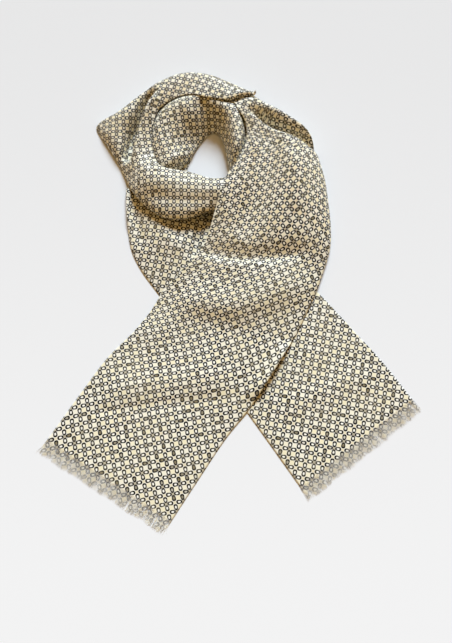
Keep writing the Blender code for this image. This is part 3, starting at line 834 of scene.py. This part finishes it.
# %% Masks and colours
def print_parts(finish):
    """Masks of the print at each place of the cloth, the chances of each mesh and link, and the place.

    A mask is 1 inside its part's outline and 0 outside, with a soft edge between. A mesh is a rounded
    square, (|first|**3 + |second|**3)**(1/3), and a knot is a plain one.
    """
    place = finish.node("SeparateXYZ", inputs={0: finish.node("UVMap", uv_map="cloth").outputs[0]})
    across, along = Field(finish, place.outputs[0]), Field(finish, place.outputs[1])
    first = (across + along) / REPEAT
    second = (along - across) / REPEAT
    in_mesh = centred(first), centred(second)
    at_knot = centred(first + 0.5), centred(second + 0.5)
    flat_link = link_distance(in_mesh[0] * pointing(first, second + 0.5), at_knot[1])
    tall_link = link_distance(in_mesh[1] * pointing(first + 0.5, second), at_knot[0])
    nearest = flat_link.least(tall_link)
    inside = 1 - nearest.rising(*SOFT_EDGES["inside"])
    dark = chance_of(finish, (across * 2 / REPEAT).whole(), (along * 2 / REPEAT).whole())
    tint = chance_of(finish, first.whole(), second.whole())
    from_cross = abs(centred(across / REPEAT + 0.5)), abs(centred(along / REPEAT + 0.5))
    cross = 1 - from_cross[0].least(from_cross[1]).rising(*SOFT_EDGES["cross thin"])
    arm = 1 - from_cross[0].most(from_cross[1]).rising(*SOFT_EDGES["cross arm"])
    from_middle = abs(in_mesh[0]) ** MESH_ROUNDNESS + abs(in_mesh[1]) ** MESH_ROUNDNESS
    from_middle = from_middle ** (1 / MESH_ROUNDNESS)
    from_knot = abs(at_knot[0]).most(abs(at_knot[1]))
    return {
        "line": (1 - nearest.rising(*SOFT_EDGES["line"])) * (1 - inside),
        "inside": inside,
        "dark": dark.rising(*SOFT_EDGES["dark"]) ** DARK_RARITY,
        "tint": tint.rising(*SOFT_EDGES["tint"]),
        "cross": cross * arm,
        "mesh": 1 - from_middle.rising(*SOFT_EDGES["mesh"]),
        "knot": 1 - from_knot.rising(*SOFT_EDGES["knot"]),
        "across": across,
        "along": along,
    }


def printed_colour(finish, parts, strength=1.0):
    """The print's colours one over the other, on the ground colour."""
    mesh = finish.mixed(parts["tint"], YELLOW_MESH, PALE_MESH)
    fill = finish.mixed(parts["dark"], LINK_FILL, DARK_FILL)
    colour = finish.mixed(parts["mesh"] * strength, GROUND, mesh)
    colour = finish.mixed(parts["knot"] * strength, colour, KNOT_FILL)
    colour = finish.mixed(parts["cross"] * strength, colour, CROSS_LINE)
    colour = finish.mixed(parts["inside"] * strength, colour, fill)
    return finish.mixed(parts["line"] * strength, colour, LINK_LINE)


# %% Printed silk
def random_spots(finish, scale, detail):
    """Soft random spots all over a piece, as a number about 0.5."""
    place = finish.node("TexCoord").outputs["Object"]
    return finish.field("TexNoise", "Fac", {"Vector": place, "Scale": scale, "Detail": detail})


def printed_silk():
    """Smooth twill with a soft sheen, the trellis print, and faint uneven dye."""
    finish = Finish("printed_silk", Specular_IOR_Level=0.12, Sheen_Weight=0.03, Sheen_Roughness=0.35)
    parts = print_parts(finish)
    spots = random_spots(finish, 22.0, 3.0)
    colour = finish.mixed(spots.rising(0.35, 0.75) * DYE_SHARE, printed_colour(finish, parts), UNEVEN_DYE)
    twill = ((parts["across"] + parts["along"]) * (2 * math.pi / WEAVE_PITCH)).sine()
    bump = finish.node("Bump", {"Strength": 0.10, "Distance": 0.0001, "Height": twill})
    roughness = SILK_ROUGHNESS + spots * ROUGHER_SPOTS
    return finish.made(Base_Color=colour, Roughness=roughness, Normal=bump.outputs[0])


silk = printed_silk()
print("printed silk:", len(silk.node_tree.nodes), "nodes")

# %% [markdown]
# ## Thin silk pieces
#
# A sheet could be two surfaces joined at their rims. A Solidify modifier does
# that to one surface and keeps its flat places, so each stretch is a single
# grid of squares with a wall of about a third of a millimetre.

# %% Silk pieces
SHELL = 0.35


def grid_faces(rows, columns):
    """Corner numbers of all the squares of a grid."""
    number = np.arange(rows * columns).reshape(rows, columns)
    corners = [number[:-1, :-1], number[:-1, 1:], number[1:, 1:], number[1:, :-1]]
    return np.stack(corners, axis=-1).reshape(-1, 4)


def to_world(points):
    """Places on the table, in millimetres, in the model's own metres."""
    return (points.reshape(-1, 3) - (MIDDLE_X, MIDDLE_Y, 0.0)) * MM


def numbers_of(items, title, width=1, kind=float):
    """One property of all items of a mesh, such as the places of its points, as an array."""
    values = np.empty(len(items) * width, dtype=kind)
    items.foreach_get(title, values)
    return values.reshape(-1, width) if width > 1 else values


def lay_map(mesh, title, corner_places):
    """A map of the mesh that gives every corner of every face its flat place."""
    layer = mesh.uv_layers.new(name=title)
    layer.uv.foreach_set("vector", corner_places.astype(np.float32).ravel())


def add_piece(name, points, faces, maps, material):
    """A mesh object with maps, each of them a flat place for every point."""
    mesh = bpy.data.meshes.new(name)
    mesh.from_pydata(to_world(points).tolist(), [], faces)
    corner = numbers_of(mesh.loops, "vertex_index", kind=int)
    for title, flat in maps.items():
        lay_map(mesh, title, flat.reshape(-1, 2)[corner])
    mesh.materials.append(material)
    return in_scene(name, mesh)


def stand_for(piece, slot, *nodes):
    """The piece rides on the model's one body and shows instead of the model's nodes."""
    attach(piece, "root")
    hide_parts(*nodes)


def silk_piece(name, grid, flat, *nodes):
    """A stretch of silk: the grid's squares, facing up, with a thin wall."""
    faces = grid_faces(*grid.shape[:2])
    upwards = np.cross(np.gradient(grid, axis=1), np.gradient(grid, axis=0))[..., 2].mean() > 0
    faces = faces if upwards else faces[:, ::-1]
    piece = add_piece(name, grid, faces.tolist(), {"cloth": flat}, silk)
    piece.data.shade_smooth()
    wall = piece.modifiers.new("wall", "SOLIDIFY")
    wall.thickness = SHELL * MM
    wall.offset = 0.0
    stand_for(piece, "printed_silk", *nodes)
    area = np.linalg.norm(np.cross(np.diff(grid[:, :-1], axis=0), np.diff(grid[:-1], axis=1)), axis=-1).sum()
    print(name, len(faces) * 4, "triangles,", round(area * MM * MM, 4), "square metres")
    return piece


tail_right = silk_piece("silk_tail_right", tail_right_grid, places["tail_right"], "tail_right")
inner_turn = silk_piece("silk_inner_turn", inner_turn_grid, places["inner_turn"], "ring_inner")
outer_turn = silk_piece("silk_outer_turn", outer_turn_grid, places["outer_turn"], "wrap_back", "wrap_front")
tail_left = silk_piece("silk_tail_left", tail_left_grid, places["tail_left"], "tail_left")

# %% [markdown]
# ## The hidden turns
#
# Under the ring the real cloth goes on in layers. They could be modelled, but
# only a little shows in the gaps between the turns, so the model's one rounded
# solid serves. It is lowered where it would come through the thin silk, and has
# the same print, laid on each face as seen from the side, the front or above.

# %% Silk of the hidden turns and room for it
CLEARANCE = 2.5
LEAST_HEIGHT = 0.4
ROOF_REACH = 14
WELD = 0.01
NOTHING_ABOVE = -1000.0
# Painted shade: the golden brown that the hidden turns' print is mixed towards in random patches, standing in
# for the shade of the turns above them.
PAINTED_SHADE_OF_TURNS = srgb(196, 180, 134)


def folded_silk():
    """The same print, rougher, darkened in random patches towards a golden brown as painted shade of the
    turns above it, with soft ridges of folded layers.
    """
    finish = Finish("folded_silk", Specular_IOR_Level=0.12, Sheen_Weight=0.03)
    spots = random_spots(finish, 60.0, 4.0)
    colour = finish.mixed(spots * 0.3, printed_colour(finish, print_parts(finish)), PAINTED_SHADE_OF_TURNS)
    bump = finish.node("Bump", {"Strength": 0.4, "Distance": 0.001, "Height": spots})
    return finish.made(Base_Color=colour, Roughness=0.5 + spots * 0.2, Normal=bump.outputs[0])


def roof_of(grids):
    """The lowest cloth within a few squares of each square of the plan.

    It is the height map of the cloth turned upside down, spread to its neighbours and turned back.
    """
    roof = HeightMap(empty=NOTHING_ABOVE)
    for grid in grids:
        roof.add(grid * (1.0, 1.0, -1.0))
    for _ in range(ROOF_REACH):
        for axis in (0, 1):
            sides = np.maximum(np.roll(roof.height, 1, axis), np.roll(roof.height, -1, axis))
            roof.height = np.maximum(roof.height, sides)
    roof.height *= -1.0
    return roof


def weld(mesh):
    """Join the points of a mesh that lie in one place."""
    welded = bmesh.new()
    welded.from_mesh(mesh)
    bmesh.ops.remove_doubles(welded, verts=welded.verts, dist=WELD * MM)
    welded.to_mesh(mesh)
    welded.free()


def seen_square_on(mesh, points):
    """For each corner of each face, its place as seen along the axis that the face looks along most.

    Seen along x that is z and y, seen along y it is x and z, and seen along z it is x and y.
    """
    facing = np.abs(numbers_of(mesh.polygons, "normal", 3)).argmax(axis=1)
    facing = np.repeat(facing, numbers_of(mesh.polygons, "loop_total", kind=int))
    corner = numbers_of(mesh.loops, "vertex_index", kind=int)
    across, along = np.array([(2, 1), (0, 2), (0, 1)])[facing].T
    return np.stack([points[corner, across], points[corner, along]], axis=-1)


# %% Hidden turns under the silk
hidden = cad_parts["inner_folds"].copy()
hidden.data = hidden.data.copy()
hidden.name = "silk_hidden_turns"
bpy.context.scene.collection.objects.link(hidden)
weld(hidden.data)
on_table = numbers_of(hidden.data.vertices, "co", 3) / MM + (MIDDLE_X, MIDDLE_Y, 0.0)
roof = roof_of([tail_right_grid, inner_turn_grid, outer_turn_grid, tail_left_grid])
lowered = np.minimum(on_table[:, 2], np.maximum(roof.under(on_table) - CLEARANCE, LEAST_HEIGHT))
lowered = np.where(on_table[:, 2] > LOWEST, lowered, on_table[:, 2])
settled = np.column_stack([on_table[:, :2], lowered])
hidden.data.vertices.foreach_set("co", to_world(settled).ravel())
hidden.data.update()
lay_map(hidden.data, "cloth", seen_square_on(hidden.data, on_table))
hidden.data.materials.clear()
hidden.data.materials.append(folded_silk())
stand_for(hidden, "folded_silk", "inner_folds")
print("hidden turns:", len(settled), "points, top", round(lowered.max(), 1))

# %% [markdown]
# ## Frayed ends
#
# The strip's ends aren't hemmed. The cross threads have been pulled out over
# the last 17 mm, so the long threads lie loose there, in small bunches that
# lean to each other. Hair would need another renderer's setting to export, so
# every thread is a thin three sided tube that tapers to its tip.

# %% Threads
THREADS = 1080
THREAD_POINTS = 7
THREAD_SIDES = 3
THREAD_WIDTH = 0.26
THREAD_TAPER = 0.4
FRINGE_LENGTH = 17.0
ROOT_INSIDE, ROOT_ABOVE = 2.0, 0.3
OWN_LEAN, OWN_WANDER, OWN_HUMP = 0.12, 0.5, 0.25
LEAST_LIE, MOST_LIE = 0.2, 0.6
LEAST_WANDER_TURN, MOST_WANDER_TURN = 0.6, 1.8

# A thread's length in shares of the fringe's: the usual one, a wave along the edge, and its own part.
USUAL_REACH, REACH_WAVE, REACH_ANGLE = 0.97, 0.05, 25
SHORTER, LONGER = -0.2, 0.1

# Bunches lean by sines along the edge: height, angle from one corner to the other, and seeds that shift it.
LEAN_WAVES = ((0.08, 34, 1), (0.08, 83, 2), (0.04, 190, 0))


def at_steps(rows, steps):
    """A row of points or flat places, read at broken steps along it."""
    count = np.arange(len(rows))
    return np.stack([np.interp(steps, count, column) for column in rows.T], axis=-1)


def thread_paths(end_row, before_row, end_place, onward, seed):
    """The middle lines of all threads of one end, their sideways directions and their flat places.

    A thread starts on the cloth, a little inside its last row, and runs outwards. It leans with
    its bunch, by a sum of three sines along the edge, wanders by a share of its own, and sinks
    to the table on the way. onward is 1 where the strip's running length grows outwards, or -1.
    """
    rng = np.random.default_rng(seed)
    start = np.sort(rng.uniform(0, len(end_row) - 1, THREADS))
    root = at_steps(end_row, start)
    out = (root - at_steps(before_row, start))[:, :2]
    out /= np.linalg.norm(out, axis=1, keepdims=True)
    side = np.stack([-out[:, 1], out[:, 0]], axis=-1)
    edge = start / len(end_row)
    lean = sum(height * np.sin(edge * angle + seeds * seed) for height, angle, seeds in LEAN_WAVES)
    lean = lean + rng.normal(0, OWN_LEAN, THREADS)
    reach = USUAL_REACH + REACH_WAVE * np.sin(edge * REACH_ANGLE + seed)
    reach = FRINGE_LENGTH * (reach + rng.uniform(SHORTER, LONGER, THREADS))
    t = np.linspace(0.0, 1.0, THREAD_POINTS)
    wander = rng.normal(0, OWN_WANDER, THREADS)[:, None]
    turn = rng.uniform(LEAST_WANDER_TURN, MOST_WANDER_TURN, THREADS)[:, None]
    wander = wander * np.sin(t * math.pi * turn)
    forward = reach[:, None] * t - ROOT_INSIDE * (1 - t)
    sideways = forward * lean[:, None] * t + wander
    path = np.empty((THREADS, THREAD_POINTS, 3))
    path[..., :2] = root[:, None, :2] + out[:, None] * forward[..., None]
    path[..., :2] += side[:, None] * sideways[..., None]
    lie = rng.uniform(LEAST_LIE, MOST_LIE, THREADS)[:, None]
    path[..., 2] = (root[:, None, 2] + ROOT_ABOVE) * (1 - t) + lie * t
    path[..., 2] += OWN_HUMP * np.sin(t * math.pi) * rng.uniform(-1.0, 1.0, THREADS)[:, None]
    path[..., 2] = np.maximum(path[..., 2], THREAD_WIDTH / 2)
    flat = at_steps(end_place, start)[:, None] + np.stack([-sideways * onward, forward * onward], axis=-1)
    return path, side, flat


# %% Tubes
def thread_mesh(path, side):
    """Flat triangular tubes: three corners round every point of a path, narrower towards the tip.

    half width = THREAD_WIDTH / 2 * (1 - taper * share of the way**2)
    """
    half = THREAD_WIDTH / 2 * (1 - THREAD_TAPER * np.linspace(0.0, 1.0, THREAD_POINTS) ** 2)
    across = np.concatenate([side, np.zeros((len(side), 1))], axis=1)[:, None, :] * half[:, None]
    up = np.array([0.0, 0.0, 0.5]) * half[:, None]
    corners = np.stack([path + across - up / 2, path - across - up / 2, path + up], axis=2)
    number = np.arange(corners[..., 0].size).reshape(len(path), THREAD_POINTS, THREAD_SIDES)
    after = np.roll(number, -1, axis=2)
    walls = np.stack([number[:, :-1], after[:, :-1], after[:, 1:], number[:, 1:]], axis=-1).reshape(-1, 4)
    root, tip = number[:, 0, ::-1], number[:, -1]
    return corners.reshape(-1, 3), [*walls.tolist(), *root.tolist(), *tip.tolist()]


# %% Frayed ends
BARE_THREAD = srgb(255, 253, 248)
PRINT_FADE, FADE_END = 0.45, 0.9


def frayed_silk():
    """Loose threads: the print fades along them, and each thread has its own tint."""
    finish = Finish("frayed_silk", Specular_IOR_Level=0.15, Sheen_Weight=0.1)
    thread = finish.node("SeparateXYZ", inputs={0: finish.node("UVMap", uv_map="thread").outputs[0]})
    onward = Field(finish, thread.outputs[1])
    tint = chance_of(finish, thread.outputs[0], 0.0)
    colour = printed_colour(finish, print_parts(finish), 1.0 - onward.rising(0.0, FADE_END) * PRINT_FADE)
    colour = finish.mixed(tint * 0.3 + 0.05, colour, BARE_THREAD)
    return finish.made(Base_Color=colour, Roughness=0.55 + tint * 0.2)


frayed = frayed_silk()


def frayed_end(name, node, grid, end_place, onward, seed):
    """All threads of one end as one mesh, over the model's own strands."""
    path, side, flat = thread_paths(grid[0], grid[1], end_place, onward, seed)
    points, faces = thread_mesh(path, side)
    number, share = np.meshgrid(np.arange(len(path)), np.linspace(0.0, 1.0, THREAD_POINTS), indexing="ij")
    maps = {"cloth": flat, "thread": np.stack([number, share], axis=-1)}
    maps = {title: np.repeat(spots[:, :, None], THREAD_SIDES, axis=2) for title, spots in maps.items()}
    piece = add_piece(name, points, faces, maps, frayed)
    stand_for(piece, "frayed_silk", node)
    print(name, len(path), "threads,", len(faces) * 2, "triangles")
    return piece


fringe_left = frayed_end("silk_fringe_left", "fringe_left", tail_left_grid, places["tail_left"][0], -1, 3)
fringe_right = frayed_end("silk_fringe_right", "fringe_right", tail_right_grid[::-1],
                          places["tail_right"][-1], 1, 5)

# %% [markdown]
# ## The four stretches
#
# The four stretches are printed by name; their flat sizes are printed where they are laid flat. The whole
# strip is 180 mm wide, and the turns show only the part of it that isn't folded under.

# %% Sheets
print("sheets:", [piece.name for piece in (tail_left, tail_right, outer_turn, inner_turn)])

# %% [markdown]
# ## Floor and light
#
# The picture was taken on a white table under a wide light at its top, with a
# faint warm light in the shadows. A big lamp near by would light the far table
# more than the near one. A wide sun and a warm world light it evenly, and where
# the sun doesn't reach, the silk turns a golden brown.

# %% Floor and light
def table_with_painted_light():
    """Matt white with painted light: its colour gets a little lighter from the far side of the scarf to its
    near side.
    """
    finish = Finish("table", Roughness=0.9, Specular_IOR_Level=0.1)
    spot = finish.node("SeparateXYZ", inputs={0: finish.node("TexCoord").outputs["Object"]})
    # Painted light: the table's white gets lighter towards the near side.
    painted_light_share = (Field(finish, spot.outputs[1]) * -1.0).rising(-0.5, 0.5)
    return finish.made(Base_Color=finish.mixed(painted_light_share, srgb(231, 231, 231), srgb(243, 243, 243)))


TABLE_HALF, TABLE_Z = 3.0, -0.0002
table_corners = [(x * TABLE_HALF, y * TABLE_HALF, TABLE_Z) for x, y in ((-1, -1), (1, -1), (1, 1), (-1, 1))]
table_mesh = bpy.data.meshes.new("table")
table_mesh.from_pydata(table_corners, [], [(0, 1, 2, 3)])
table_mesh.materials.append(table_with_painted_light())
table = in_scene("table", table_mesh)

SUN_FROM = Vector((0.12, 0.80, 0.588))
SUN_COLOUR = (0.681, 0.835, 1.0)
WORLD_COLOUR = (1.0, 0.63, 0.24, 1.0)

sun_data = bpy.data.lights.new("wide_sun", "SUN")
sun_data.angle = math.radians(24.0)
sun_data.energy = 4.86
sun_data.color = SUN_COLOUR
sun = in_scene("wide_sun", sun_data)
sun.rotation_euler = SUN_FROM.to_track_quat("Z", "Y").to_euler()

world = bpy.data.worlds.new("room")
world.use_nodes = True
background = world.node_tree.nodes["Background"]
background.inputs["Color"].default_value = WORLD_COLOUR
background.inputs["Strength"].default_value = 0.38
bpy.context.scene.world = world
bpy.context.scene.view_settings.view_transform = "Standard"
print("light from", [round(value, 2) for value in SUN_FROM], "and from all round")
